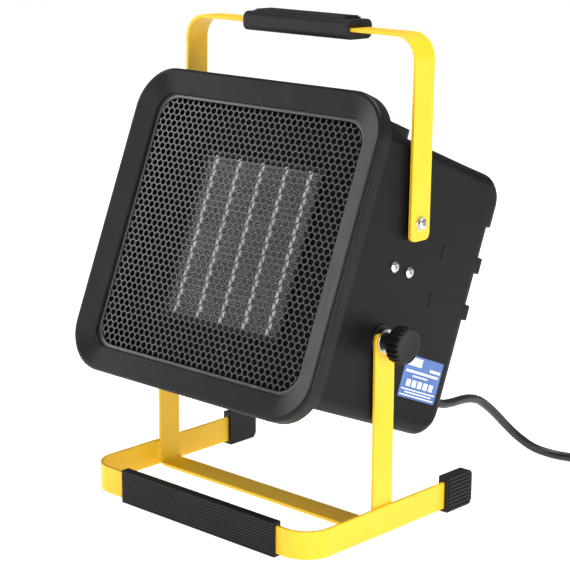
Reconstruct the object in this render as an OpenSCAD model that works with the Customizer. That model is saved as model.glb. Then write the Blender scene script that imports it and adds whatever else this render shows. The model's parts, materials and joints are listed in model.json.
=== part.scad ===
// Ceramic (PTC) workshop heater: a square head tilts in a flat-strap stand and has a swinging bail handle.
// Front faces -Y, +X is the side with the rating label, +Z is up. The floor is z = 0.
// Head pieces are drawn in the head's own frame: x across, y is depth from the pivot (front is negative),
// z is height along the head from the pivot. head() leans that frame back and sets it on the clamp axis.

/* [Stand] */
// Thickness of the flat steel strap
strap_t = 3; // [2.5:0.5:3.5]
// Width of the flat steel strap
strap_w = 25; // [22:1:28]
// Half width of the base across its legs
base_half = 138; // [136:1:142]
// Distance from the clamp axis forward to the front bar
base_front = 98.6; // [92:0.2:104]
// Distance from the clamp axis back to the ends of the legs
base_back = 113; // [108:1:120]
// Outer radius of the bends at the front corners
base_bend = 27; // [20:1:34]
// Height of the clamp axis above the floor
pivot_z = 175.5; // [170:0.5:185]
// Place of the clamp axis along Y, which centres the heater on its origin
pivot_y = -23.05; // [-26:0.05:-20]

/* [Rubber feet] */
// Wall of the rubber pad and caps
rubber_t = 3; // [2.5:0.5:3.5]
// Length of the front pad
pad_len = 190; // [150:1:200]
// Offset of the front pad from the middle
pad_shift = 6; // [-10:1:10]
// Length of a rear cap
cap_len = 36; // [30:1:44]

/* [Head] */
// Lean of the head from upright, in degrees
tilt = 22.3; // [20:0.1:24]
// Width of the bezel
bezel_w = 293; // [288:1:298]
// Height of the bezel
bezel_h = 282; // [278:1:286]
// Outer corner radius of the bezel
bezel_r = 40; // [34:1:46]
// Width of the grille opening
open_w = 248; // [240:1:252]
// Height of the grille opening
open_h = 236; // [230:1:240]
// Corner radius of the grille opening
open_r = 22; // [16:1:28]
// Half width of the housing
house_half = 130.5; // [130:0.5:131]
// Wall of the moulded housings
wall = 2.5; // [2:0.5:3]

/* [Handle] */
// Height of the bail's outer face above its bolts
bail_h = 160; // [156:1:164]
// Outer radius of the bail's corners
bail_bend = 22; // [18:1:26]
// Lean of the bail from upright, in degrees
bail_lean = 1; // [0:0.5:3]
// Length of the hand grip
grip_len = 124; // [110:1:140]

/* [Heater core and fan] */
// Width of the finned heater core
core_w = 134; // [130:1:136]
// Height of the finned heater core
core_h = 146; // [142:1:150]
// Spacing of the five heating tubes
tube_pitch = 28.2; // [27.8:0.2:28.6]
// Fins in each bank
fin_count = 17; // [12:1:22]
// Radius of the fan blades
fan_r = 96; // [90:1:98]
// Number of fan blades
fan_blades = 7; // [5:1:9]

/* [Power cord] */
// Diameter of the cord
cord_d = 8.4; // [8:0.2:9]

/* [Hidden] */
$fn = 48;

// Stand
strap_z = rubber_t;                       // underside of the base strap
strap_top = strap_z + strap_w;
yoke_out = base_half - strap_t;           // outer faces of the uprights lie on the inner faces of the legs
yoke_in = yoke_out - strap_t;
yoke_bend = 7;
cap_top = strap_top + 5;
cap_x0 = yoke_out - rubber_t - 0.5;
cap_x1 = base_half + rubber_t + 0.5;
cap_back = base_back + 5;
rib_out = 0.8;                            // how far the rubber ribs stand proud

// Head, all from the clamp axis
face_y = -90;                             // front ridge of the bezel
dish = 5.5;                               // how far the bezel slopes in to its opening
face_z = 50.8;                            // middle of the bezel and its opening
grille_y = -80;
grille_t = 1.2;
bezel_back = -76;
flare_y = -57;                            // where the flared front meets the straight housing
seam_y = 22;                              // joint between the two housings
rear_y = 109;                             // rear wall between its bands
band_y = 114;                             // rear face of the raised bands
house_top = 169.5;
house_low = -71;
house_r = 11;                             // long edges of the housing
tail_r = 21;                              // top and bottom edges at the rear
ledge_low = -73.7;                        // moulded ledge under the front housing
band_z = [[39, 53], [82, 96.5], [125, house_top]];
grille_px = 7.2 * 3;                      // the grille's holes, drawn three times coarser
grille_pz = 5.63 * 3;
fan_z = 51;
core_y0 = -60;
core_y1 = -38;
tube_t = 5;

// Side hardware, in the head's frame
bolt_yz = [1.8, 103.8];
screw_yz = [[-9.2, 62.2], [12.2, 62.2]];
bail_in = 134;
bail_out = bail_in + strap_t;
stud_r = 4;
knob_r = 16;
knob_x0 = 147;
knob_x1 = 160.5;
panel_z = 178;
dial_x = 50;
dial_y = -34;

// Cord: where it leaves the head, then its route in the heater's frame, to the coil
gland_x = 100;
gland_z = -38;
gland_len = 34;
coil_at = [248, 232];
coil_r = 44.2;
coil_w = 2 * cord_d;                      // two turns side by side, two high
coil_lift = 1.2;
cord_route = [[100, 118.6, 85.8], [99.6, 126, 83.3], [98.6, 135, 81.5], [97, 147, 80], [95, 160, 78.6],
    [93, 175, 76], [91.5, 190, 71], [91, 204, 62.5], [91.5, 219, 50.5], [93.5, 234, 36], [99, 248, 21.5],
    [110, 260, 9.8], [126, 269.5, 4.8], [145, 275, 4.3], [166, 278, 4.3], [188, 280, 4.3],
    [211, 281.2, 4.6], [232, 280.8, 5.2], [244, 280.4, 5.4]];
plug_at = [309, 203, 19];
plug_turn = -110.5;                       // heading of the plug's pins, from +X

// ---------- frames and profiles ----------

// Head frame: leans back about the clamp axis.
module head() {
    translate([0, pivot_y, pivot_z]) rotate([-tilt, 0, 0]) children();
}

// Bail frame: origin on the handle bolts, upright but for its own lean.
module bail() {
    head() translate([0, bolt_yz[0], bolt_yz[1]]) rotate([tilt - bail_lean, 0, 0]) children();
}

// Extrudes an (x, z) outline from depth y0 to y1.
module deep(y0, y1) {
    translate([0, y1, 0]) rotate([90, 0, 0]) linear_extrude(y1 - y0) children();
}

// Extrudes a (y, z) outline from x0 to x1.
module across(x0, x1) {
    translate([x0, 0, 0]) rotate([90, 0, 90]) linear_extrude(x1 - x0) children();
}

// Round bar along X.
module rod(x0, x1, r) {
    translate([x0, 0, 0]) rotate([0, 90, 0]) cylinder(h = x1 - x0, r = r);
}

// Round bar along the head's depth.
module pole(y0, y1, r) {
    translate([0, y0, 0]) rotate([-90, 0, 0]) cylinder(h = y1 - y0, r = r);
}

// Box from its lowest and highest corners.
module block(low, high) {
    translate(low) cube(high - low);
}

// Rectangle with rounded corners, centred.
module rrect(w, h, r) {
    square([w - 2 * r, h], center = true);
    square([w, h - 2 * r], center = true);
    for (sx = [-1, 1], sy = [-1, 1])
        translate([sx * (w / 2 - r), sy * (h / 2 - r)]) circle(r);
}

// Rounded rectangle between two heights.
module tall_rrect(half, low, high, r) {
    translate([0, (low + high) / 2]) rrect(2 * half, high - low, r);
}

// Quarter ring in the plane, from the +X side to the +Y side of its centre.
module quarter_ring(r_out, r_in) {
    intersection() {
        difference() {
            circle(r_out);
            circle(r_in);
        }
        square(r_out);
    }
}

// Copies a piece to both sides of the heater.
module both_sides() {
    children();
    mirror([1, 0, 0]) children();
}

// ---------- stand ----------

module base_strap() {
    color("gold") translate([0, pivot_y, strap_z]) both_sides() linear_extrude(strap_w) {
        translate([0, -base_front]) square([base_half - base_bend, strap_t]);
        translate([yoke_out, base_bend - base_front]) square([strap_t, base_back + base_front - base_bend]);
        translate([base_half - base_bend, base_bend - base_front]) mirror([0, 1])
            quarter_ring(base_bend, base_bend - strap_t);
    }
}

module yoke_outline() {
    translate([0, strap_z]) square([yoke_out - yoke_bend, strap_t]);
    translate([yoke_in, strap_z + yoke_bend]) square([strap_t, pivot_z - strap_z]);
    translate([yoke_out - yoke_bend, strap_z + yoke_bend]) mirror([0, 1])
        quarter_ring(yoke_bend, yoke_bend - strap_t);
}

module yoke_strap() {
    color("gold") translate([0, pivot_y, 0]) difference() {
        intersection() {
            both_sides() deep(-strap_w / 2, strap_w / 2) yoke_outline();
            across(-base_half, base_half) {
                translate([-strap_w / 2, 0]) square([strap_w, pivot_z]);
                translate([0, pivot_z]) circle(strap_w / 2);
            }
        }
        translate([0, 0, pivot_z]) rod(-base_half, base_half, stud_r + 0.3);
    }
}

module weld_beads() {
    bead = 2.6;
    color("gold") translate([0, pivot_y, strap_z + yoke_bend]) both_sides()
        for (s = [-1, 1])
            linear_extrude(strap_w - yoke_bend - 1)
                polygon([[yoke_out, s * strap_w / 2], [yoke_out - bead, s * strap_w / 2],
                    [yoke_out, s * (strap_w / 2 + bead)]]);
}

// Rib strips that stand proud of a rubber face at y = 0, up its height.
module rubber_ribs(x0, x1, height, count) {
    pitch = height / count;
    for (i = [0:count - 1])
        block([x0, -rib_out, (i + 0.2) * pitch], [x1, 0.01, (i + 0.8) * pitch]);
}

module front_foot_pad() {
    y0 = -base_front - rubber_t + rib_out;
    y1 = -base_front + strap_t + rubber_t;
    pad_top = strap_top + rubber_t;
    color("#26272a") translate([pad_shift, pivot_y, 0]) difference() {
        union() {
            block([-pad_len / 2, y0, 0], [pad_len / 2, y1, pad_top]);
            translate([0, y0, 0]) rubber_ribs(-pad_len / 2, pad_len / 2, pad_top, 12);
        }
        block([-pad_len, -base_front, strap_z], [pad_len, -base_front + strap_t, strap_top]);
    }
}

// Rubber cap on the end of the right-hand leg.
module rear_cap() {
    y0 = cap_back - cap_len;
    color("#26272a") translate([0, pivot_y, 0]) difference() {
        union() {
            across(cap_x0, cap_x1) {
                translate([y0, 0]) square([cap_len - 6, cap_top]);
                translate([cap_back - 8, 6]) square([8, cap_top - 12]);
                for (z = [6, cap_top - 6]) translate([cap_back - 6, z]) circle(6);
            }
            translate([cap_x1 - 0.01, 0, 0]) rotate([0, 0, 90])
                rubber_ribs(y0 + 2, cap_back - 3, cap_top, 9);
        }
        block([yoke_out, y0 - 1, strap_z], [base_half, base_back, strap_top]);
    }
}

module rear_cap_right() {
    rear_cap();
}

module rear_cap_left() {
    mirror([1, 0, 0]) rear_cap();
}

// ---------- head shells ----------

module bezel_outline(grow = 0) {
    translate([0, face_z]) rrect(bezel_w + 2 * grow, bezel_h + 2 * grow, bezel_r + grow);
}

module opening_outline(grow = 0) {
    translate([0, face_z]) rrect(open_w + 2 * grow, open_h + 2 * grow, open_r + grow);
}

module front_bezel() {
    lip = 3;                              // flat ridge outside the dished face
    color("#4a4b4e") head() difference() {
        deep(face_y, bezel_back) bezel_outline();
        deep(face_y - 1, bezel_back + 1) opening_outline();
        deep(grille_y, bezel_back + 1) opening_outline(4.5);
        hull() {
            deep(face_y - 0.2, face_y) bezel_outline(-lip, $fn = 32);
            deep(face_y + dish - 0.1, face_y + dish) opening_outline(0, $fn = 32);
        }
    }
}

// Perforated sheet, drawn with coarser holes than the real one.
module front_grille() {
    cols = floor(open_w / grille_px / 2);
    rows = floor(open_h / grille_pz / 2);
    color("#77797c") head() deep(grille_y, grille_y + grille_t) difference() {
        opening_outline(4);
        for (j = [-rows:rows], i = [-cols:cols])
            translate([(i + (j % 2 == 0 ? 0 : 0.5)) * grille_px, face_z + j * grille_pz])
                if (abs((i + (j % 2 == 0 ? 0 : 0.5)) * grille_px) < open_w / 2 - 8
                    && abs(j * grille_pz) < open_h / 2 - 8)
                    rotate(30) circle(grille_pz * 0.48, $fn = 6);
    }
}

// Side holes for the clamp stud, the handle bolt and the two bracket screws, on both sides.
module side_holes(x0, clear = 0.3) {
    both_sides() {
        rod(x0, house_half + 5, stud_r + clear);
        translate([0, bolt_yz[0], bolt_yz[1]]) rod(x0, house_half + 5, 3 + clear);
        for (p = screw_yz) translate([0, p[0], p[1]]) rod(x0, house_half + 5, 2.5 + clear);
    }
}

module flare(inset) {
    hull() {
        deep(bezel_back - (inset > 0 ? 0.01 : 0), bezel_back + 0.1)
            tall_rrect(143.5 - inset, -86 + inset, 187 - inset, 35 - inset, $fn = 32);
        deep(flare_y, flare_y + 0.1)
            tall_rrect(house_half - inset, house_low + inset, house_top - inset, house_r - inset, $fn = 32);
    }
}

module front_housing() {
    color("#303133") head() difference() {
        union() {
            flare(0);
            deep(flare_y, seam_y) tall_rrect(house_half, house_low, house_top, house_r);
            block([-110, flare_y, ledge_low], [110, 3, house_low + 1]);
        }
        flare(wall);
        deep(flare_y, seam_y + 1)
            tall_rrect(house_half - wall, house_low + wall, house_top - wall, house_r - wall);
        side_holes(house_half - wall - 3);
        for (s = [-1, 1]) translate([s * dial_x, dial_y, house_top - 5]) cylinder(h = 10, r = 3.6);
    }
}

// Rear shell body: the side view, the plan view and the end view, crossed.
module rear_block(y0, rear, half, low, high, r) {
    intersection() {
        across(-half, half) {
            translate([y0, low]) square([rear - r - y0, high - low]);
            translate([rear - r - 1, low + r]) square([r + 1, high - low - 2 * r]);
            for (z = [low + r, high - r]) translate([rear - r, z]) circle(r);
        }
        translate([0, 0, low]) linear_extrude(high - low) {
            translate([-half, y0]) square([2 * half, rear - y0 - 14]);
            translate([14 - half, y0]) square([2 * half - 28, rear - y0]);
            for (s = [-1, 1]) translate([s * (half - 14), rear - 14]) circle(14);
        }
        deep(y0, rear) tall_rrect(half, low, high, house_r);
    }
}

module intake_slots() {
    for (zone = [[-40, 34, 7], [58, 78, 2], [101, 121, 2]])
        for (i = [0:zone[2] - 1]) {
            z = zone[0] + (i + 0.5) * (zone[1] - zone[0]) / zone[2];
            deep(rear_y - 8, rear_y + 1) translate([0, z]) square([150, 5], center = true);
        }
}

module rear_housing() {
    bosses = [[-112, -55], [112, -55], [-112, 150], [112, 150]];
    color("#303133") head() difference() {
        union() {
            difference() {
                union() {
                    rear_block(seam_y, rear_y, house_half, house_low, house_top, tail_r);
                    intersection() {
                        rear_block(54, band_y, house_half + 0.6, house_low, house_top + 0.6, tail_r);
                        for (b = band_z) block([-140, 53, b[0]], [140, 120, b[1] + 1]);
                    }
                }
                rear_block(seam_y - 1, rear_y - wall, house_half - wall, house_low + wall,
                    house_top - wall, tail_r - wall);
            }
            for (p = bosses) translate([p[0], 0, p[1]]) pole(seam_y, rear_y - 1, 5);
        }
        intake_slots();
        for (p = bosses) translate([p[0], 0, p[1]]) {
            pole(seam_y - 1, 120, 2.2);
            pole(rear_y - 4, 120, 4.5);
        }
        translate([gland_x, 0, gland_z]) pole(rear_y - 10, rear_y + 10, 8.1);
    }
}

module rating_label() {
    color("royalblue") head() across(house_half, house_half + 0.4)
        translate([67.7, -22.8]) rrect(54.5, 37.5, 1);
}

module control_panel() {
    color("#1c1d1f") head() difference() {
        translate([0, -36, house_top]) linear_extrude(panel_z - house_top) rrect(236, 40, 8);
        for (s = [-1, 1]) translate([s * dial_x, dial_y, house_top - 1]) cylinder(h = 20, r = 3.6);
    }
}

// ---------- side hardware ----------

module side_bracket() {
    x1 = house_half - wall;
    color("silver") head() difference() {
        across(x1 - 2, x1) translate([1.8, 50]) rrect(44, 132, 6);
        side_holes(x1 - 3);
    }
}

module side_bracket_right() {
    side_bracket();
}

module side_bracket_left() {
    mirror([1, 0, 0]) side_bracket();
}

module side_screws() {
    color("silver") head() both_sides() for (p = screw_yz) translate([0, p[0], p[1]]) {
        rod(house_half - 12, house_half, 2.5);
        rod(house_half, house_half + 1.2, 4.9);
        rod(house_half + 1.2, house_half + 2.2, 4.2);
    }
}

module handle_bolts() {
    color("silver") head() both_sides() translate([0, bolt_yz[0], bolt_yz[1]]) {
        rod(116, bail_out + 1.2, 3);
        rod(bail_out + 1.2, bail_out + 3, 5);
        rod(bail_out + 3, bail_out + 4, 4);
    }
}

// Hexagonal nut with a round bore, from x0.
module nut(x0, thick, hex_r, bore_r) {
    translate([x0, 0, 0]) rotate([0, 90, 0]) difference() {
        cylinder(h = thick, r = hex_r, $fn = 6);
        translate([0, 0, -1]) cylinder(h = thick + 2, r = bore_r);
    }
}

module handle_nuts() {
    color("silver") head() both_sides() translate([0, bolt_yz[0], bolt_yz[1]]) nut(121, 5, 5.8, 3.05);
}

module handle_spacers() {
    color("#1c1d1f") head() both_sides() translate([0, bolt_yz[0], bolt_yz[1]]) difference() {
        rod(house_half, bail_in - 0.1, 9);
        rod(house_half - 1, bail_in + 1, 3.3);
    }
}

module handle_washers() {
    color("silver") head() both_sides() translate([0, bolt_yz[0], bolt_yz[1]]) difference() {
        rod(bail_out, bail_out + 1.1, 6.2);
        rod(bail_out - 1, bail_out + 2, 3.1);
    }
}

module friction_washers() {
    color("#3c3c3c") head() both_sides() difference() {
        rod(house_half, yoke_in - 0.1, 14);
        rod(house_half - 1, yoke_in + 1, stud_r + 0.3);
    }
}

module clamp_nuts() {
    color("silver") head() both_sides() nut(119.5, 6.5, 7.4, stud_r + 0.05);
}

module clamp_knob() {
    color("#18191b") head() difference() {
        union() {
            rod(yoke_out + 1.6, knob_x0 + 1, 7.5);
            rod(knob_x0, knob_x1, knob_r);
        }
        for (a = [0:18:342])
            rotate([a, 0, 0]) translate([0, 0, knob_r + 0.6]) rod(knob_x0 - 1, knob_x1 - 2.5, 1.7);
        rod(yoke_out, knob_x1 - 4, stud_r);
    }
}

module clamp_knob_right() {
    clamp_knob();
}

module clamp_knob_left() {
    mirror([1, 0, 0]) clamp_knob();
}

module clamp_stud_right() {
    color("silver") head() rod(117, knob_x1 - 4, stud_r);
}

module clamp_stud_left() {
    mirror([1, 0, 0]) clamp_stud_right();
}

module clamp_washer_right() {
    color("silver") head() difference() {
        rod(yoke_out + 0.1, yoke_out + 1.5, 10.5);
        rod(yoke_out - 1, yoke_out + 3, stud_r + 0.2);
    }
}

module clamp_washer_left() {
    mirror([1, 0, 0]) clamp_washer_right();
}

// ---------- handle ----------

module handle_strap() {
    low = 15;                             // strap below the bolt
    inner = bail_bend - strap_t;
    color("gold") bail() difference() {
        both_sides() {
            deep(-strap_w / 2, strap_w / 2) {
                translate([0, bail_h - strap_t]) square([bail_out - bail_bend, strap_t]);
                translate([bail_out - bail_bend, bail_h - bail_bend]) quarter_ring(bail_bend, inner);
                translate([bail_in, 0]) square([strap_t, bail_h - bail_bend]);
            }
            across(bail_in, bail_out) {
                translate([-strap_w / 2, 6 - low]) square([strap_w, low]);
                translate([6 - strap_w / 2, -low]) square([strap_w - 12, low]);
                for (s = [-1, 1]) translate([s * (strap_w / 2 - 6), 6 - low]) circle(6);
            }
        }
        rod(-bail_out - 1, bail_out + 1, 3.1);
    }
}

module handle_grip() {
    color("#1b1c1e") bail() translate([2, 0, bail_h - strap_t / 2]) difference() {
        across(-grip_len / 2, grip_len / 2) rrect(33, 17, 6);
        block([-grip_len, -strap_w / 2, -strap_t / 2], [grip_len, strap_w / 2, strap_t / 2]);
    }
}

// Raised ribbed pad on the top of the grip.
module grip_pad() {
    color("#232427") bail() translate([2, 0, bail_h - strap_t / 2 + 8.5]) {
        block([-grip_len / 2 + 8, -10, 0], [grip_len / 2 - 8, 10, 1.4]);
        for (i = [-4:4]) block([-grip_len / 2 + 10, i * 2.2 - 0.6, 1.4], [grip_len / 2 - 10, i * 2.2 + 0.6, 2.4]);
    }
}

// ---------- heater core and air path ----------

module air_baffle() {
    color("#101112") head() difference() {
        deep(-56.5, -55) tall_rrect(house_half - wall - 0.5, house_low + wall + 0.5, house_top - wall - 0.5, 8);
        deep(-58, -54) translate([0, face_z]) square([core_w + 8.2, core_h + 8.2], center = true);
    }
}

module core_frame() {
    color("#b9bbbd") head() difference() {
        deep(core_y0, core_y1 + 2) translate([0, face_z]) square([core_w + 8, core_h + 8], center = true);
        deep(core_y0 - 1, core_y1) translate([0, face_z]) square([core_w, core_h], center = true);
        deep(core_y1 - 1, core_y1 + 3) translate([0, face_z]) square([core_w - 8, core_h - 8], center = true);
    }
}

module heating_tubes() {
    color("#d4d5d6") head() translate([0, 0, face_z]) for (i = [-2:2]) translate([i * tube_pitch, 0, 0])
        difference() {
            block([-tube_t / 2, core_y0 + 0.5, -core_h / 2], [tube_t / 2, core_y1, core_h / 2]);
            block([-1.6, core_y0 + 2, -core_h], [1.6, core_y1 - 1.5, core_h]);
        }
}

module ceramic_stones() {
    color("#8c8f94") head() translate([0, 0, face_z])
        for (i = [-2:2], j = [-2:2]) translate([i * tube_pitch, 0, j * 28])
            block([-1.6, core_y0 + 2.6, -12.5], [1.6, core_y1 - 2.1, 12.5]);
}

// One bank of fins between x0 and x1: two edge strips joined by level plates.
module fin_bank(x0, x1) {
    pitch = (core_h - 1) / fin_count;
    for (x = [x0, x1 - 0.6]) block([x, core_y0 + 1, -core_h / 2], [x + 0.6, core_y1 - 0.5, core_h / 2]);
    for (i = [0:fin_count]) {
        z = i * pitch - core_h / 2;
        block([x0, core_y0 + 1, z], [x1, core_y1 - 0.5, z + 0.9]);
    }
}

module heating_fins() {
    edge = core_w / 2;
    color("#c9cbcd") head() translate([0, 0, face_z]) {
        for (i = [-2:1]) fin_bank(i * tube_pitch + tube_t / 2, (i + 1) * tube_pitch - tube_t / 2);
        fin_bank(2 * tube_pitch + tube_t / 2, edge);
        fin_bank(-edge, -2 * tube_pitch - tube_t / 2);
    }
}

module power_tabs() {
    color("#c9cbcd") head() for (i = [-2:2])
        block([i * tube_pitch - 0.4, core_y1 + 0.05, face_z + core_h / 2 - 12],
            [i * tube_pitch + 0.4, core_y1 + 13, face_z + core_h / 2 - 5.8]);
}

module thermal_cutout() {
    color("#d8d4c8") head() translate([core_w / 2 - 40, 0, face_z - core_h / 2 - 1.5]) {
        pole(core_y1 + 2, core_y1 + 8, 5.4);
        block([-9, core_y1 + 8, -3.5], [9, core_y1 + 12, 3.5]);
    }
}

module fan_duct() {
    color("#161718") head() difference() {
        union() {
            deep(6, 8) translate([0, fan_z - 6]) square([236, 218], center = true);
            translate([0, 0, fan_z]) pole(8, 40, fan_r + 5);
        }
        translate([0, 0, fan_z]) pole(4, 42, fan_r + 3);
    }
}

module duct_screws() {
    color("silver") head() translate([0, 0, fan_z]) for (a = [45:90:315])
        rotate([0, a, 0]) translate([fan_r + 13, 0, 0]) {
            pole(1.5, 6, 1.9);
            pole(8, 10, 3.6);
        }
}

// Four arms from the duct's rim, with a seat for the motor.
module motor_bracket() {
    color("#9a9c9e") head() translate([0, 0, fan_z]) difference() {
        union() {
            pole(46, 48, 38);
            for (a = [0:90:270]) rotate([0, a + 45, 0]) {
                block([34, 46, -6], [fan_r + 5, 48, 6]);
                block([fan_r + 3.2, 40, -6], [fan_r + 5, 46, 6]);
            }
        }
        pole(45, 49, 6);
    }
}

module motor_body() {
    color("#8f9194") head() translate([0, 0, fan_z]) difference() {
        union() {
            pole(48, 84, 34);
            pole(84, 90, 12);
        }
        pole(47, 86, stud_r + 0.05);
    }
}

module motor_shaft() {
    color("silver") head() translate([0, 0, fan_z]) pole(14, 85, stud_r);
}

module fan_blade() {
    hub_r = 27;
    color("#202124") head() translate([0, 0, fan_z]) {
        difference() {
            pole(13, 37, hub_r);
            pole(12, 38, stud_r);
        }
        intersection() {
            for (i = [0:fan_blades - 1]) rotate([0, i * 360 / fan_blades, 0])
                translate([hub_r - 4, 25, 0]) rotate([30, 0, 0]) translate([0, -1, -21]) cube([fan_r, 2, 42]);
            difference() {
                pole(11, 39, fan_r);
                pole(10, 40, hub_r - 3);
            }
        }
    }
}

// ---------- controls and wiring ----------

module dial_knob(x) {
    color("#202124") head() translate([x, dial_y, panel_z + 0.3]) difference() {
        union() {
            cylinder(h = 2, r = 17);
            cylinder(h = 10, r = 14);
        }
        translate([0, 0, -1]) cylinder(h = 8, r = 3.02);
    }
}

module dial_shaft(x) {
    color("silver") head() translate([x, dial_y, 156]) cylinder(h = panel_z + 6.3 - 156, r = 3);
}

// Body of a control under the panel, with a bore for its shaft.
module dial_body(x, half) {
    color("#3a3b3d") head() translate([x, dial_y, 0]) difference() {
        block([-half, -15, 145], [half, 15, house_top - wall]);
        translate([0, 0, 155]) cylinder(h = 30, r = 3.05);
    }
}

module mode_knob() {
    dial_knob(-dial_x);
}

module mode_shaft() {
    dial_shaft(-dial_x);
}

module mode_switch() {
    dial_body(-dial_x, 15);
}

module thermostat_knob() {
    dial_knob(dial_x);
}

module thermostat_shaft() {
    dial_shaft(dial_x);
}

module thermostat() {
    dial_body(dial_x, 19);
}

module terminal_block() {
    color("ivory") head() for (i = [0:2]) translate([40 + i * 12, 60, house_low + wall])
        block([0, 0, 0], [11.5, 24, 15]);
}

module wiring_loom() {
    loom_route = [[74, 72, -60], [90, 71, -56], [99, 70, -38], [100, 70, 0], [100, 70, 60], [100, 70, 120],
        [99, 58, 150], [98, 30, 160], [97, -10, 160], [88, -31, 158], [68, -34, 157]];
    link_route = [[32, -34, 157], [15, -34, 154], [-15, -34, 154], [-36, -34, 157]];
    color("sienna") head() {
        tube(loom_route, 2.6, 8, [0.5, 1, 0.3]);
        tube(link_route, 2.2, 8, [0, 1, 0]);
    }
}

module housing_screws() {
    color("silver") head() for (x = [-112, 112], z = [-55, 150]) translate([x, 0, z]) {
        pole(seam_y, rear_y - 4, 2.1);
        pole(rear_y - 4, rear_y - 1.6, 4.2);
    }
}

// ---------- power cord ----------

module cord_gland() {
    color("#141516") head() translate([gland_x, 0, gland_z]) difference() {
        union() {
            pole(rear_y - 8, rear_y, 8);
            pole(rear_y, rear_y + 4, 10);
            translate([0, rear_y + 4, 0]) rotate([-90, 0, 0])
                cylinder(h = gland_len - 4, r1 = 8, r2 = cord_d / 2 + 1.2);
        }
        pole(rear_y - 9, rear_y + gland_len - 10, cord_d / 2);
    }
}

module gland_nut() {
    color("#141516") head() translate([gland_x, 0, gland_z]) difference() {
        translate([0, rear_y - wall - 4, 0]) rotate([-90, 0, 0]) cylinder(h = 4, r = 11, $fn = 6);
        pole(rear_y - 12, rear_y, 8.05);
    }
}

// Smooth curve through the route: Catmull-Rom between points b and c.
function between(a, b, c, d, t) =
    0.5 * (2 * b + (c - a) * t + (2 * a - 5 * b + 4 * c - d) * t * t + (3 * b - a - 3 * c + d) * t * t * t);
function at_end(p, i) = p[max(0, min(len(p) - 1, i))];
function smooth(p, steps) = [for (i = [0:len(p) - 2], k = [0:steps - 1])
    between(at_end(p, i - 1), p[i], p[i + 1], at_end(p, i + 2), k / steps), p[len(p) - 1]];
function unit(v) = v / norm(v);
function heading(p, i) = unit(at_end(p, i + 1) - at_end(p, i - 1));

// Ring of points round the curve, with its second axis as near to up as it goes.
function ring(p, i, r, sides, up) =
    let (t = heading(p, i), s = unit(cross(t, up)), u = cross(s, t))
    [for (k = [0:sides - 1]) p[i] + r * (cos(k * 360 / sides) * s + sin(k * 360 / sides) * u)];

// Round tube swept along a route.
module tube(route, r, sides, up = [0, 0, 1]) {
    path = smooth(route, 2);
    count = len(path);
    rings = [for (i = [0:count - 1]) each ring(path, i, r, sides, up)];
    walls = [for (i = [0:count - 2], k = [0:sides - 1])
        [i * sides + k, i * sides + (k + 1) % sides, (i + 1) * sides + (k + 1) % sides, (i + 1) * sides + k]];
    caps = [[for (k = [0:sides - 1]) sides - 1 - k], [for (k = [0:sides - 1]) (count - 1) * sides + k]];
    polyhedron(points = rings, faces = concat(walls, caps));
}

module power_cord() {
    color("#161718") translate([0, pivot_y, 0]) tube(cord_route, cord_d / 2, 10);
}

module cord_coil() {
    color("#161718") translate([coil_at[0], coil_at[1] + pivot_y, coil_lift]) rotate_extrude($fn = 96)
        translate([coil_r - coil_w / 2, 0]) square([coil_w, coil_w]);
}

module cord_tie() {
    half = coil_w / 2;
    color("#303235") translate([coil_at[0], coil_at[1] + pivot_y, 0]) rotate([0, 0, -150]) difference() {
        block([coil_r - half - 2.6, -6, 0], [coil_r + half + 1.8, 6, coil_w + 2 * coil_lift]);
        block([coil_r - half - 1.2, -7, coil_lift], [coil_r + half + 0.4, 7, coil_w + coil_lift]);
    }
}

// Plug frame: x runs from the cord end out to the pins.
module plug() {
    translate([0, pivot_y, 0]) translate(plug_at) rotate([0, 0, plug_turn]) children();
}

module power_plug() {
    color("#18191b") plug() {
        rotate([0, 90, 0]) cylinder(h = 28, r1 = cord_d / 2 + 1.3, r2 = 13);
        rod(28, 34, 17);
        rod(34, 62, 18.8);
    }
}

module plug_pins() {
    color("silver") plug() for (s = [-1, 1]) translate([0, s * 9.5, 0]) rod(62, 81, 2.4);
}

base_strap();
yoke_strap();
weld_beads();
front_foot_pad();
rear_cap_left();
rear_cap_right();
front_bezel();
front_grille();
front_housing();
rear_housing();
rating_label();
control_panel();
side_bracket_left();
side_bracket_right();
side_screws();
handle_bolts();
handle_spacers();
handle_nuts();
friction_washers();
clamp_nuts();
air_baffle();
core_frame();
heating_tubes();
ceramic_stones();
heating_fins();
power_tabs();
thermal_cutout();
fan_duct();
motor_bracket();
motor_body();
duct_screws();
housing_screws();
mode_switch();
thermostat();
terminal_block();
wiring_loom();
cord_gland();
gland_nut();
handle_strap();
handle_grip();
grip_pad();
handle_washers();
clamp_knob_left();
clamp_stud_left();
clamp_washer_left();
clamp_knob_right();
clamp_stud_right();
clamp_washer_right();
fan_blade();
motor_shaft();
mode_knob();
mode_shaft();
thermostat_knob();
thermostat_shaft();
power_cord();
cord_coil();
cord_tie();
power_plug();
plug_pins();
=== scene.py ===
"""Portable ceramic space heater: its looks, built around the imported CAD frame."""

import json
import logging
import math
from dataclasses import dataclass, field
from enum import Enum
from typing import Iterable, Optional, Sequence, Union

import bmesh
import bpy
from mathutils import Matrix, Vector


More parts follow.
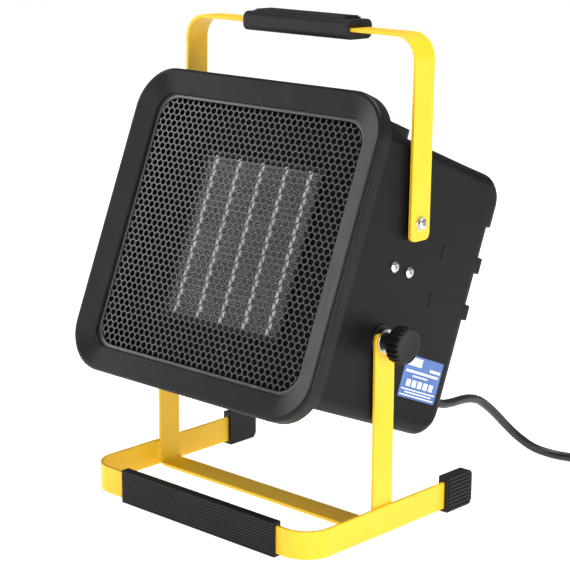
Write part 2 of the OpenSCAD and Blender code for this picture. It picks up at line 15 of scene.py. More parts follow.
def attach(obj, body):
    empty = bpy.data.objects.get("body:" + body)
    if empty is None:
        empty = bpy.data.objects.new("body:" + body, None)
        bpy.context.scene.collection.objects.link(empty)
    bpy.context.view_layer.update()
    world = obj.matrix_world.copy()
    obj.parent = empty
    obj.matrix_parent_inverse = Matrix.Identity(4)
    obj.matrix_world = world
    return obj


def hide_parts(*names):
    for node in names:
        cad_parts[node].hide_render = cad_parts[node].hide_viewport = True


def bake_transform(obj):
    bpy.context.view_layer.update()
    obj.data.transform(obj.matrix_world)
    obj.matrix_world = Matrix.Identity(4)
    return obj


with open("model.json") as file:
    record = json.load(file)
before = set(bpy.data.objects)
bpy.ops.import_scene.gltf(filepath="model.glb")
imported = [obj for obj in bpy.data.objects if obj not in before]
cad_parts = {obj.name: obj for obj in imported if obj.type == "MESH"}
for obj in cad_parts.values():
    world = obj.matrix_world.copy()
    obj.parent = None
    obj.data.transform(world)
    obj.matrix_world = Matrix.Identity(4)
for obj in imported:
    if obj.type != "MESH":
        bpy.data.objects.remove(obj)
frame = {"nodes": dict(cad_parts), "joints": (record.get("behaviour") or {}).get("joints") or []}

log = logging.getLogger("heater")
MM = 0.001
TILT = math.radians(22.3)
PIVOT = Vector(next(j["pos_m"] for j in frame["joints"] if j["name"] == "head_tilt")) * 1000
HEAD = Matrix.Scale(MM, 4) @ Matrix.Translation(PIVOT) @ Matrix.Rotation(-TILT, 4, "X")
WORLD = Matrix.Scale(MM, 4)
LEVEL = WORLD @ Matrix.Translation((0, PIVOT.y, 0))
TO_SIDE = Matrix.Rotation(math.radians(90), 4, "Y")
TO_DEPTH = Matrix.Rotation(math.radians(-90), 4, "X")
SIDE_FACE = 130.5
LABEL_AXES = Matrix(((0, 0, 1, 0), (1, 0, 0, 0), (0, 1, 0, 0), (0, 0, 0, 1)))
TO_LABEL = Matrix.Translation((SIDE_FACE, 0, 0)) @ LABEL_AXES
BOLT = (1.8, 103.8)


# ---------------------------------------------------------------- materials


class Graph:
    """Builds one material's nodes."""

    def __init__(self, name: str) -> None:
        self.material = bpy.data.materials.new(name)
        self.material.use_nodes = True
        self.tree = self.material.node_tree
        self.shader = self.tree.nodes["Principled BSDF"]

    def node(self, kind: str, settings: Optional[dict] = None, inputs: Optional[dict] = None):
        """Adds a node, sets its properties, and sets or links its inputs.

        Args:
            kind: the node's type name.
            settings: properties to set, by name.
            inputs: values, sockets or signals for the inputs, by name or number.

        Returns:
            The new node.
        """
        made = self.tree.nodes.new(kind)
        for key, value in (settings or {}).items():
            setattr(made, key, value)
        for key, value in (inputs or {}).items():
            self.feed(made.inputs[key], value)
        return made

    def feed(self, socket, value) -> None:
        """Links a signal or socket to an input, or sets the input's own value."""
        if isinstance(value, Signal):
            value = value.socket
        if isinstance(value, bpy.types.NodeSocket):
            self.tree.links.new(value, socket)
        else:
            socket.default_value = value

    def signal(self, node, output: Union[str, int] = 0) -> "Signal":
        """Wraps a node's output so that it takes part in arithmetic."""
        return Signal(self, node.outputs[output])

    def noise(self, scale: float, detail: float = 3.0, stretch=(1.0, 1.0, 1.0)) -> "Signal":
        """Noise over the piece's own space, in features per metre."""
        place = self.node("ShaderNodeTexCoord").outputs["Object"]
        place = self.node("ShaderNodeMapping", inputs={"Vector": place, "Scale": stretch}).outputs[0]
        made = self.node("ShaderNodeTexNoise", inputs={"Vector": place, "Scale": scale, "Detail": detail})
        return self.signal(made, "Fac")

    def mix(self, factor: "Signal", low, high):
        """Blends two colours."""
        made = self.node("ShaderNodeMix", {"data_type": "RGBA"})
        self.feed(made.inputs[0], factor)
        self.feed(made.inputs[6], low)
        self.feed(made.inputs[7], high)
        return made.outputs[2]


class Signal:
    """A float socket with arithmetic."""

    def __init__(self, graph: Graph, socket) -> None:
        self.graph = graph
        self.socket = socket

    def _math(self, operation: str, first, second) -> "Signal":
        made = self.graph.node("ShaderNodeMath", {"operation": operation}, {0: first, 1: second})
        return self.graph.signal(made)

    def __add__(self, other) -> "Signal":
        return self._math("ADD", self, other)

    def __sub__(self, other) -> "Signal":
        return self._math("SUBTRACT", self, other)

    def __mul__(self, other) -> "Signal":
        return self._math("MULTIPLY", self, other)

    __radd__ = __add__
    __rmul__ = __mul__

    def ramp(self, low: float, high: float) -> "Signal":
        """Maps the range low to high smoothly on to 0 to 1."""
        made = self.graph.node("ShaderNodeMapRange", {"interpolation_type": "SMOOTHSTEP"},
                               {"Value": self, "From Min": low, "From Max": high})
        return self.graph.signal(made)


class Grain(Enum):
    """How a surface is worked."""

    PEEL = "orange peel of sprayed powder"
    SPARK = "spark-eroded mould texture"
    BRUSH = "drawn or brushed metal"
    CAST = "rough cast or fired"


@dataclass(frozen=True)
class Finish:
    """One surface finish.

    Args:
        name: the material's name.
        slot: the record's material slot; not used.
        colour: main colour.
        shade: colour of the slow variation over the piece.
        roughness: mean roughness.
        spread: how far the roughness varies.
        metallic: 0 or 1.
        grain: how the surface is worked.
        size: size of one grain, in mm.
        depth: height of the grain, in mm.
        coat: clear layer over it.
        dust: share of pale dust and rubbing in the slow variation.
        specular: strength of the surface's own reflection.
    """

    name: str
    slot: str
    colour: tuple
    shade: tuple
    roughness: float
    spread: float = 0.08
    metallic: float = 0.0
    grain: Grain = Grain.SPARK
    size: float = 0.5
    depth: float = 0.02
    coat: float = 0.0
    dust: float = 0.0
    specular: float = 0.5

    def build(self) -> bpy.types.Material:
        """Makes the material, or returns the one already made."""
        if self.name in bpy.data.materials:
            return bpy.data.materials[self.name]
        g = Graph(self.name)
        slow = g.noise(28.0, 4.0).ramp(0.3, 0.7)
        smear = g.noise(95.0, 5.0, (1.0, 1.0, 0.35)).ramp(0.52, 0.78)
        stretch = (1.0, 14.0, 14.0) if self.grain is Grain.BRUSH else (1.0, 1.0, 1.0)
        fine = g.noise(1.0 / (self.size * MM), 2.0 if self.grain is Grain.PEEL else 6.0, stretch)
        colour = g.mix(slow, (*self.colour, 1.0), (*self.shade, 1.0))
        if self.dust:
            pale = tuple(min(1.0, c * 1.5 + 0.03) for c in self.colour)
            colour = g.mix(smear * self.dust, colour, (*pale, 1.0))
        rough = (fine - 0.5) * self.spread + (smear * (self.spread * 0.8)) + self.roughness
        bump = g.node("ShaderNodeBump", inputs={"Height": fine, "Distance": self.depth * MM, "Strength": 1.0})
        for socket, value in {"Base Color": colour, "Roughness": rough, "Metallic": self.metallic,
                              "Coat Weight": self.coat, "Coat Roughness": 0.25,
                              "Specular IOR Level": self.specular,
                              "Normal": bump.outputs[0]}.items():
            g.feed(g.shader.inputs[socket], value)
        return g.material


YELLOW = Finish("yellow_powder_coat", "yellow_steel", (0.9, 0.545, 0.02), (0.87, 0.52, 0.018), 0.38, 0.1,
                grain=Grain.PEEL, size=1.1, depth=0.035, coat=0.06, specular=0.3)
BEZEL = Finish("bezel_textured_paint", "bezel_paint", (0.0105, 0.0105, 0.0113), (0.008, 0.008, 0.0088),
               0.4, 0.12, specular=0.15, grain=Grain.PEEL, size=0.7, depth=0.025, dust=0.1)
GRILLE = Finish("grille_grey_paint", "grille_steel", (0.045, 0.045, 0.046), (0.035, 0.035, 0.036), 0.28, 0.12,
                specular=0.9, grain=Grain.PEEL, size=0.6, depth=0.01)
SHELL = Finish("shell_satin_black", "shell_plastic", (0.0055, 0.0057, 0.0062), (0.0047, 0.0049, 0.0054),
               0.44, 0.1, specular=0.12, grain=Grain.SPARK, size=0.45, depth=0.01, dust=0.06)
RUBBER = Finish("foot_rubber", "black_rubber", (0.007, 0.007, 0.0075), (0.01, 0.01, 0.0105), 0.55, 0.14,
                specular=0.22, grain=Grain.CAST, size=0.6, depth=0.025, dust=0.15)
BLACK = Finish("moulded_black", "black_plastic", (0.005, 0.005, 0.0055), (0.007, 0.007, 0.0075), 0.42, 0.12,
               specular=0.22, grain=Grain.SPARK, size=0.4, depth=0.01, dust=0.1)
ZINC = Finish("zinc_plated_steel", "zinc_steel", (0.6, 0.6, 0.58), (0.5, 0.5, 0.49), 0.3, 0.14, 1.0,
              grain=Grain.BRUSH, size=1.2, depth=0.008)
ALUMINIUM = Finish("rolled_aluminium", "core_aluminium", (0.86, 0.87, 0.88), (0.76, 0.77, 0.78),
                   0.3, 0.16, 1.0, grain=Grain.BRUSH, size=1.5, depth=0.008)
FIN = Finish("brazed_fins", "core_aluminium", (0.46, 0.46, 0.47), (0.38, 0.38, 0.39), 0.42, 0.16, 1.0,
             grain=Grain.BRUSH, size=1.5, depth=0.008)
TRAY = Finish("core_tray_dark", "core_aluminium", (0.02, 0.02, 0.021), (0.015, 0.015, 0.016), 0.5, 0.12,
              specular=0.2, grain=Grain.CAST, size=0.7, depth=0.01)
DEEP = Finish("baffle_matt_black", "black_plastic", (0.003, 0.003, 0.0032), (0.0045, 0.0045, 0.0048),
              0.7, 0.12, specular=0.1, grain=Grain.CAST, size=0.6, depth=0.01)
TUBE = Finish("core_tube_alloy", "core_aluminium", (0.6, 0.6, 0.6), (0.5, 0.5, 0.5), 0.42, 0.16, 1.0,
              grain=Grain.BRUSH, size=1.5, depth=0.008)
CERAMIC = Finish("fired_ceramic", "ptc_ceramic", (0.3, 0.31, 0.33), (0.24, 0.25, 0.27), 0.7, 0.1,
                 grain=Grain.CAST, size=0.5, depth=0.02)
IVORY = Finish("ivory_terminal", "ivory_plastic", (0.72, 0.68, 0.56), (0.66, 0.62, 0.5), 0.4, 0.1,
               grain=Grain.SPARK, size=0.5, depth=0.01)
LABEL = Finish("label_blue_film", "label_film", (0.03, 0.12, 0.4), (0.026, 0.105, 0.37), 0.3, 0.06,
               grain=Grain.PEEL, size=2.0, depth=0.004, coat=0.4)
PRINT = Finish("label_pale_print", "label_film", (0.72, 0.76, 0.8), (0.66, 0.7, 0.75), 0.34, 0.06,
               grain=Grain.PEEL, size=2.0, depth=0.004)
CORD = Finish("cord_jacket", "cord_rubber", (0.007, 0.007, 0.0075), (0.01, 0.01, 0.0105), 0.42, 0.12,
              specular=0.4, grain=Grain.CAST, size=0.8, depth=0.02, dust=0.1)
BRASS = Finish("nickel_brass_pins", "plug_brass", (0.78, 0.68, 0.45), (0.7, 0.6, 0.4), 0.25, 0.1, 1.0,
               grain=Grain.BRUSH, size=1.0, depth=0.006)


# ---------------------------------------------------------------- mesh tools


def outline(bm: bmesh.types.BMesh, half: float, low: float, high: float, radius: float, depth: float,
            steps: int = 8) -> bmesh.types.BMFace:
    """Adds a rounded rectangle face across the head, at one depth.

    Args:
        bm: mesh to add to.
        half: half its width.
        low: its lowest height.
        high: its greatest height.
        radius: corner radius.
        depth: place along Y.
        steps: edges round each corner.

    Returns:
        The face.
    """
    verts = bmesh.ops.create_grid(bm, x_segments=1, y_segments=1, size=1.0)["verts"]
    place = Matrix.Translation((0, depth, (low + high) / 2)) @ Matrix.Rotation(math.radians(90), 4, "X")
    place = place @ Matrix.Diagonal((half, (high - low) / 2, 1, 1))
    bmesh.ops.transform(bm, matrix=place, verts=verts)
    bevelled = bmesh.ops.bevel(bm, geom=verts, offset=radius, segments=steps, profile=0.5, affect="VERTICES",
                               clamp_overlap=False, material=-1)
    return max({f for v in bevelled["verts"] for f in v.link_faces}, key=lambda f: f.calc_area())


def loft(bm: bmesh.types.BMesh, sections: Sequence[Sequence[float]], closed: bool = True) -> None:
    """Joins rounded rectangles (half, low, high, radius, depth) into a tube, closed into a ring or not."""
    loops = []
    for section in sections:
        face = outline(bm, *section)
        loops.append(list(face.edges))
        bmesh.ops.delete(bm, geom=[face], context="FACES_ONLY")
    pairs = list(zip(loops, loops[1:]))
    if closed:
        pairs.append((loops[-1], loops[0]))
    for first, second in pairs:
        bmesh.ops.bridge_loops(bm, edges=first + second)


def lathe(bm: bmesh.types.BMesh, profile: Sequence[Sequence[float]], steps: int = 48) -> list:
    """Turns a profile of (along, radius) points about Z, and returns its vertices."""
    verts = [bm.verts.new((radius, 0, along)) for along, radius in profile]
    edges = [bm.edges.new(pair) for pair in zip(verts, verts[1:])]
    before = set(bm.verts) - set(verts)
    bmesh.ops.spin(bm, geom=verts + edges, cent=(0, 0, 0), axis=(0, 0, 1), angle=math.tau, steps=steps,
                   use_merge=True)
    fresh = [v for v in bm.verts if v not in before]
    bmesh.ops.remove_doubles(bm, verts=fresh, dist=1e-4)
    return [v for v in bm.verts if v not in before]


def flute(verts: Iterable, reach: float, low: float, high: float, waves: int, depth: float, power: int = 1,
          crest: int = -1) -> None:
    """Cuts waves along the outer part of a turned shape.

    Args:
        verts: the turned vertices.
        reach: radius beyond which they move.
        low: place along Z where the waves start.
        high: place along Z where they end.
        waves: how many there are round the shape.
        depth: share of the radius that the deepest one takes.
        power: 2 makes the grooves narrow.
        crest: 1 starts with a groove, -1 with a ridge.
    """
    for v in verts:
        if math.hypot(v.co.x, v.co.y) > reach and low < v.co.z < high:
            wave = 0.5 + crest * 0.5 * math.cos(waves * math.atan2(v.co.y, v.co.x))
            cut = 1 - depth * wave ** power
            v.co.x, v.co.y = v.co.x * cut, v.co.y * cut


def verts_in(geom: Iterable) -> list:
    """Picks the vertices out of mixed geometry."""
    return [g for g in geom if isinstance(g, bmesh.types.BMVert)]


def box(bm: bmesh.types.BMesh, low: Sequence[float], high: Sequence[float]) -> list:
    """Adds a box between two corners, and returns its vertices."""
    low, high = Vector(low), Vector(high)
    place = Matrix.Translation((low + high) / 2) @ Matrix.Diagonal((*(high - low), 1))
    return bmesh.ops.create_cube(bm, size=1.0, matrix=place)["verts"]


def soften_edges(bm: bmesh.types.BMesh, width: float, segments: int = 2, angle: float = 32.0) -> None:
    """Rounds every edge that is sharper than an angle."""
    sharp = [e for e in bm.edges if e.is_manifold and e.calc_face_angle(0.0) > math.radians(angle)]
    if sharp:
        bmesh.ops.bevel(bm, geom=sharp, offset=width, segments=segments, profile=0.5, affect="EDGES",
                        clamp_overlap=True, material=-1)


@dataclass
class Piece:
    """A finished object on one body.

    Args:
        name: object name.
        finish: its surface.
        body: the CAD body it rides on.
        replaces: CAD nodes it stands for.
        smooth: angle in degrees under which faces shade as one.
    """

    name: str
    finish: Finish
    body: str
    replaces: Sequence[str] = ()
    smooth: float = 38.0

    def make(self, bm: bmesh.types.BMesh, place: Matrix = WORLD, ride: bool = True) -> bpy.types.Object:
        """Turns a bmesh in mm into the finished object."""
        bm.transform(place)
        bmesh.ops.recalc_face_normals(bm, faces=bm.faces)
        mesh = bpy.data.meshes.new(self.name)
        bm.to_mesh(mesh)
        bm.free()
        made = bpy.data.objects.new(self.name, mesh)
        bpy.context.scene.collection.objects.link(made)
        mesh.polygons.foreach_set("use_smooth", [True] * len(mesh.polygons))
        mesh.set_sharp_from_angle(angle=math.radians(self.smooth))
        mesh.materials.append(self.finish.build())
        weighted = made.modifiers.new("even_shading", "WEIGHTED_NORMAL")
        weighted.keep_sharp = True
        if ride:
            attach(made, self.body)
        if self.replaces:
            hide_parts(*self.replaces)
        log.info("%s: %d faces", self.name, len(mesh.polygons))
        return made


def carve(target: bpy.types.Object, bm: bmesh.types.BMesh, place: Matrix) -> None:
    """Cuts a bmesh in mm out of an object."""
    bm.transform(place)
    mesh = bpy.data.meshes.new("cutter")
    bm.to_mesh(mesh)
    bm.free()
    cutter = bpy.data.objects.new("cutter", mesh)
    bpy.context.scene.collection.objects.link(cutter)
    cut = target.modifiers.new("cut", "BOOLEAN")
    cut.operation, cut.object, cut.solver = "DIFFERENCE", cutter, "EXACT"
    target.modifiers.move(len(target.modifiers) - 1, 0)
    bpy.context.view_layer.update()
    shaped = bpy.data.meshes.new_from_object(target.evaluated_get(bpy.context.evaluated_depsgraph_get()))
    target.modifiers.remove(cut)
    target.data = shaped
    bpy.data.objects.remove(cutter)


def softened(name: str, node: str, finish: Finish, body: str, width: float = 0.4, segments: int = 2) -> None:
    """Stands in for a CAD node with a copy whose edges are rounded, in mm."""
    bm = bmesh.new()
    bm.from_mesh(frame["nodes"][node].data)
    bmesh.ops.remove_doubles(bm, verts=bm.verts, dist=2e-6)
    bmesh.ops.dissolve_limit(bm, angle_limit=math.radians(0.6), verts=bm.verts, edges=bm.edges)
    soften_edges(bm, width * MM, segments)
    Piece(name, finish, body, [node]).make(bm, Matrix.Identity(4))


def dress(nodes: Iterable[str], finish: Finish) -> None:
    """Gives CAD nodes that stay as they are a finish."""
    for name in nodes:
        mesh = frame["nodes"][name].data
        mesh.materials.clear()
        mesh.materials.append(finish.build())
        mesh.polygons.foreach_set("material_index", [0] * len(mesh.polygons))
        log.info("%s: dressed", name)


# ---------------------------------------------------------------- camera and light


@dataclass
class Studio:
    """Camera, floor and light."""

    lens: float = 114.25
    eye: tuple = (1079.06, -1133.38, 587.06)
    azimuth: float = 43.102
    elevation: float = 13.85
    roll: float = 0.198

    def camera(self) -> None:
        """Places the camera by azimuth, elevation and roll."""
        a, e, r = (math.radians(x) for x in (self.azimuth, self.elevation, self.roll))
        right = Vector((math.cos(a), math.sin(a), 0))
        back = Vector((math.sin(a) * math.cos(e), -math.cos(a) * math.cos(e), math.sin(e)))
        up = back.cross(right)
        turned = (math.cos(r) * right + math.sin(r) * up, -math.sin(r) * right + math.cos(r) * up, back)
        data = bpy.data.cameras.new("camera")
        data.lens, data.sensor_width, data.clip_end = self.lens, 36.0, 200.0
        made = bpy.data.objects.new("camera", data)
        place = Matrix.Translation(LEVEL @ Vector(self.eye))
        made.matrix_world = place @ Matrix(turned).transposed().to_4x4()
        bpy.context.scene.collection.objects.link(made)
        bpy.context.scene.camera = made

    def area(self, name: str, place: Sequence[float], size: float, power: float, aim=(0.0, 0.0, 0.2)) -> None:
        """Adds a square soft light.

        Args:
            name: the light's name.
            place: where it stands, in metres.
            size: length of its side, in metres.
            power: its power, in watts.
            aim: the point it faces.
        """
        data = bpy.data.lights.new(name, "AREA")
        data.size, data.energy = size, power
        made = bpy.data.objects.new(name, data)
        way = Vector(aim) - Vector(place)
        made.matrix_world = Matrix.Translation(place) @ way.to_track_quat("-Z", "Y").to_matrix().to_4x4()
        bpy.context.scene.collection.objects.link(made)

    def build(self) -> None:
        """Makes the floor, the world and the lights."""
        bm = bmesh.new()
        bmesh.ops.create_grid(bm, x_segments=2, y_segments=2, size=60.0)
        mesh = bpy.data.meshes.new("floor")
        bm.to_mesh(mesh)
        bm.free()
        floor = bpy.data.objects.new("floor", mesh)
        bpy.context.scene.collection.objects.link(floor)
        g = Graph("pale_floor")
        tone = g.mix(g.noise(3.0).ramp(0.2, 0.8), (0.84, 0.84, 0.84, 1), (0.86, 0.86, 0.86, 1))
        g.feed(g.shader.inputs["Base Color"], tone)
        g.feed(g.shader.inputs["Emission Color"], tone)
        g.shader.inputs["Emission Strength"].default_value = 0.93
        g.shader.inputs["Roughness"].default_value = 0.9
        mesh.materials.append(g.material)
        world = bpy.data.worlds.new("studio")
        world.use_nodes = True
        world.node_tree.nodes["Background"].inputs["Color"].default_value = (1.0, 1.0, 1.0, 1)
        world.node_tree.nodes["Background"].inputs["Strength"].default_value = 0.22
        bpy.context.scene.world = world
        self.area("left_box", (-2.3, -0.9, 0.8), 1.5, 35.0)
        self.area("front_box", (-0.35, -2.3, 1.25), 0.9, 17.0)
        self.area("right_box", (1.0, -0.35, 0.3), 0.5, 6.0)
        self.area("top_box", (0.2, 0.5, 2.4), 1.4, 56.0)
        bpy.context.scene.view_settings.view_transform = "Standard"


# ---------------------------------------------------------------- cord


@dataclass
class PowerCord:
    """Cord, strain relief, coil, tie and plug, in mm."""

    diameter: float = 8.4
    coil: tuple = (248.0, 232.0)
    inner: float = 40.0
    outer: float = 48.4
    low: float = 5.4
    high: float = 13.8
    plug: tuple = (309.0, 203.0, 19.0)
    plug_turn: float = -110.5
    route: Sequence[tuple] = field(default_factory=lambda: [
        (100, 118.6, 85.8), (99.6, 126, 83.3), (98.6, 135, 81.5), (97, 147, 80), (95, 160, 78.6),
        (93, 175, 76), (91.5, 190, 71), (91, 204, 62.5), (91.5, 219, 50.5), (93.5, 234, 36), (99, 248, 21.5),
        (110, 260, 9.8), (126, 269.5, 4.8), (145, 275, 4.3), (166, 278, 4.3), (188, 280, 4.3),
        (211, 281.2, 4.6), (232, 280.8, 5.2)])
    tail: Sequence[tuple] = field(default_factory=lambda: [
        (297.5, 265.5, 15.2), (308.5, 250.0, 17.0), (314.5, 233.0, 18.6), (314.0, 217.0, 19.0)])

    def turn(self, degrees: float) -> Vector:
        """A point of the coil after a number of degrees of winding."""

        def ease(start: float, end: float) -> float:
            t = min(1.0, max(0.0, (degrees - start) / (end - start)))
            return t * t * (3 - 2 * t)

        radius = self.outer - (self.outer - self.inner) * ease(265, 355)
        radius += (self.outer - self.inner) * ease(985, 1075) + 8.6 * ease(1345, 1435)
        height = self.low + (self.high - self.low) * ease(620, 715)
        angle = math.radians(90 - degrees)
        x, y = self.coil
        return Vector((x + radius * math.cos(angle), y + radius * math.sin(angle), height))

    def points(self) -> list:
        """The whole centreline, smoothed, from the gland to the plug."""
        line = [Vector(p) for p in self.route] + [self.turn(d) for d in range(0, 1477, 12)]
        line += [Vector(p) for p in self.tail] + [Vector(self.plug)]
        smooth = []
        for i in range(len(line) - 1):
            a, b, c, d = line[max(0, i - 1)], line[i], line[i + 1], line[min(len(line) - 1, i + 2)]
            for t in (0.0, 0.34, 0.67):
                smooth.append(0.5 * (2 * b + (c - a) * t + (2 * a - 5 * b + 4 * c - d) * t ** 2
                                     + (3 * b - a - 3 * c + d) * t ** 3))
        return [LEVEL @ p for p in smooth + [line[-1]]]

    def build(self) -> None:
        """Makes the cord and every piece on it."""
        line = self.points()
        curve = bpy.data.curves.new("cord_line", "CURVE")
        curve.dimensions = "3D"
        curve.bevel_depth = self.diameter * MM / 2
        curve.bevel_resolution = 3
        curve.use_fill_caps = True
        spline = curve.splines.new("POLY")
        spline.points.add(len(line) - 1)
        for point, place in zip(spline.points, line):
            point.co = (*place, 1.0)
        shape = bpy.data.objects.new("cord_line", curve)
        bpy.context.scene.collection.objects.link(shape)
        bm = bmesh.new()
        made = shape.to_mesh()
        bm.from_mesh(made)
        shape.to_mesh_clear()
        bpy.data.objects.remove(shape)
        bmesh.ops.remove_doubles(bm, verts=bm.verts, dist=1e-6)
        cord = Piece("power_cord_lead", CORD, "stand", ["power_cord", "cord_coil"], 60.0).make(
            bm, Matrix.Identity(4), ride=False)
        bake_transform(cord)
        plug, pins = self.build_plug()
        softened("cord_tie_strap", "cord_tie", BLACK, "stand", 0.35)
        length = sum((b - a).length for a, b in zip(line, line[1:]))
        log.info("cord length %.3f m", length)
        self.build_relief()

    def build_plug(self) -> tuple:
        """Makes the plug body and its pins, and returns both."""
        turn = Matrix.Rotation(math.radians(self.plug_turn), 4, "Z")
        place = Matrix.Translation(self.plug) @ turn @ TO_SIDE
        bm = bmesh.new()
        boot = [(-1.5, 0), (-1.5, 5.2)]
        for i in range(6):
            radius = 5.5 + i * 0.75
            boot += [(i * 4.2, radius), (i * 4.2 + 2.7, radius + 0.3), (i * 4.2 + 3.0, radius - 0.5)]
        shape = [(26, 10.5), (29, 14.5), (31.5, 16.8), (33, 17.2), (34.5, 17.4), (35.5, 18.4), (60, 18.7),
                 (61.5, 18.2), (62, 17.2), (62, 0)]
        verts = lathe(bm, boot + shape, 64)
        flute(verts, 15, 35, 60, 16, 0.018, crest=1)
        plug = Piece("mains_plug_body", BLACK, "stand", ["power_plug"]).make(bm, LEVEL @ place)
        bm = bmesh.new()
        for side in (-9.5, 9.5):
            pin = lathe(bm, [(61, 0), (61, 2.4), (78.5, 2.4), (80.2, 1.9), (81, 0.9), (81, 0)], 24)
            bmesh.ops.translate(bm, vec=(0, side, 0), verts=pin)
        pins = Piece("mains_plug_pins", BRASS, "stand", ["plug_pins"]).make(bm, LEVEL @ place)
        return plug, pins

    def build_relief(self) -> None:
        """Makes the ribbed strain relief where the cord leaves the head."""
        bm = bmesh.new()
        profile = [(101, 4.25), (101, 8), (109, 8), (109, 10), (111.6, 10), (112.6, 9.4), (113, 8)]
        for i in range(7):
            radius, start = 7.8 - i * 0.4, 113.2 + i * 4.1
            profile += [(start, radius - 0.9), (start + 1.0, radius - 0.9), (start + 1.2, radius),
                        (start + 3.6, radius - 0.2)]
        lathe(bm, profile + [(142.6, 4.9), (142.8, 4.25), (101, 4.25)], 40)
        place = HEAD @ Matrix.Translation((100, 0, -38)) @ TO_DEPTH
        Piece("cord_strain_relief", BLACK, "head", ["cord_gland"]).make(bm, place)


# ---------------------------------------------------------------- head


@dataclass
class FrontBezel:
    """Square bezel with a dished face."""

    half: float = 146.5
    low: float = -90.2
    high: float = 191.8
    radius: float = 40.0
    face: float = -90.0
    back: float = -76.0
    dish: float = 5.5

    def build(self) -> None:
        """Makes it as one ring of rounded rectangles."""
        sections = []
        for inset, depth in [(0.0, self.back), (0.0, -86.5), (0.5, -88.4), (1.6, -89.6), (3.0, self.face),
                             (4.2, -89.9), (5.4, -89.3), (21.4, self.face + self.dish), (22.3, -84.1),
                             (22.8, -83.2), (22.8, self.back)]:
            sections.append((self.half - inset, self.low + inset, self.high - inset, self.radius - inset,
                             depth, 14))
        bm = bmesh.new()
        loft(bm, sections)
        Piece("front_bezel_ring", BEZEL, "head", ["front_bezel"], 50.0).make(bm, HEAD)


@dataclass
class Grille:
    """Perforated steel sheet at its true pitch."""

    pitch: float = 6.95
    row: float = 5.4
    wire: float = 0.95
    round: float = 0.85
    half: float = 123.6
    tall: float = 117.6
    middle: float = 50.8
    depth: float = -80.4
    thick: float = 1.1

    def cell(self, bm: bmesh.types.BMesh) -> list:
        """One lattice cell, a stretched hexagon with a round-cornered hole, and its geometry."""
        high = (self.pitch ** 2 / 4 + self.row ** 2) / (2 * self.row)
        verts = bmesh.ops.create_circle(bm, cap_ends=True, segments=6, radius=1.0)["verts"]
        wide = self.pitch / 2 / math.cos(math.radians(30))
        turn = Matrix.Translation((0, self.depth, 0)) @ Matrix.Rotation(math.radians(90), 4, "X")
        turn = turn @ Matrix.Diagonal((wide, 1.0, 1.0, 1.0))
        bmesh.ops.transform(bm, matrix=turn, verts=verts)
        for v in verts:
            v.co.z = math.copysign(high if abs(v.co.x) < 0.1 else self.row - high, v.co.z)
        face = bm.faces[:][0]
        bmesh.ops.inset_individual(bm, faces=[face], thickness=self.wire / 2, use_even_offset=True)
        bmesh.ops.bevel(bm, geom=list(face.verts), offset=self.round, segments=1, profile=0.5,
                        affect="VERTICES", clamp_overlap=True, material=-1)
        hole = min(bm.faces, key=lambda f: f.calc_center_median().xz.length)
        bmesh.ops.delete(bm, geom=[hole], context="FACES_ONLY")
        return list(bm.verts) + list(bm.edges) + list(bm.faces)

    def build(self) -> None:
        """Repeats the cell, trims it to the opening and adds the plain rim."""
        bm = bmesh.new()
        base = self.cell(bm)
        count = int(self.half / self.pitch) + 1
        rows = int(self.tall / self.row) + 1
        line = list(base)
        for i in range(-count, count + 1):
            if i:
                line += self.copy(bm, base, (i * self.pitch, 0, 0))
        for j in range(-rows, rows + 1):
            if j:
                self.copy(bm, line, ((j % 2) * self.pitch / 2, 0, j * self.row))
        radius, edge = 20.0, 3.0
        outside = []
        for face in bm.faces:
            centre = face.calc_center_median()
            dx = abs(centre.x) - (self.half - edge - radius)
            dz = abs(centre.z) - (self.tall - edge - radius)
            if math.hypot(max(dx, 0), max(dz, 0)) > radius:
                outside.append(face)
        bmesh.ops.delete(bm, geom=outside, context="FACES")
        bmesh.ops.remove_doubles(bm, verts=bm.verts, dist=1e-3)
        pulled = bmesh.ops.extrude_face_region(bm, geom=list(bm.faces), use_keep_orig=True)["geom"]
        bmesh.ops.translate(bm, vec=(0, self.thick, 0), verts=verts_in(pulled))
        bmesh.ops.translate(bm, vec=(0, 0, self.middle), verts=bm.verts)
        sections = []
        for inset, depth in [(0.0, self.depth + 1.4), (0.0, self.depth - 0.1), (0.4, self.depth - 0.3),
                             (4.6, self.depth - 0.3), (5.0, self.depth - 0.1), (5.0, self.depth + 1.4)]:
            sections.append((self.half + 3 - inset, self.middle - self.tall - 3 + inset,
                             self.middle + self.tall + 3 - inset, 25 - inset, depth, 8))
        loft(bm, sections)
        Piece("perforated_grille", GRILLE, "head", ["front_grille"], 30.0).make(bm, HEAD)

    @staticmethod
    def copy(bm: bmesh.types.BMesh, geom: list, move: Sequence[float]) -> list:
        """Copies geometry by a distance and returns the copy."""
        fresh = bmesh.ops.duplicate(bm, geom=geom)["geom"]
        bmesh.ops.translate(bm, vec=move, verts=verts_in(fresh))
        return fresh


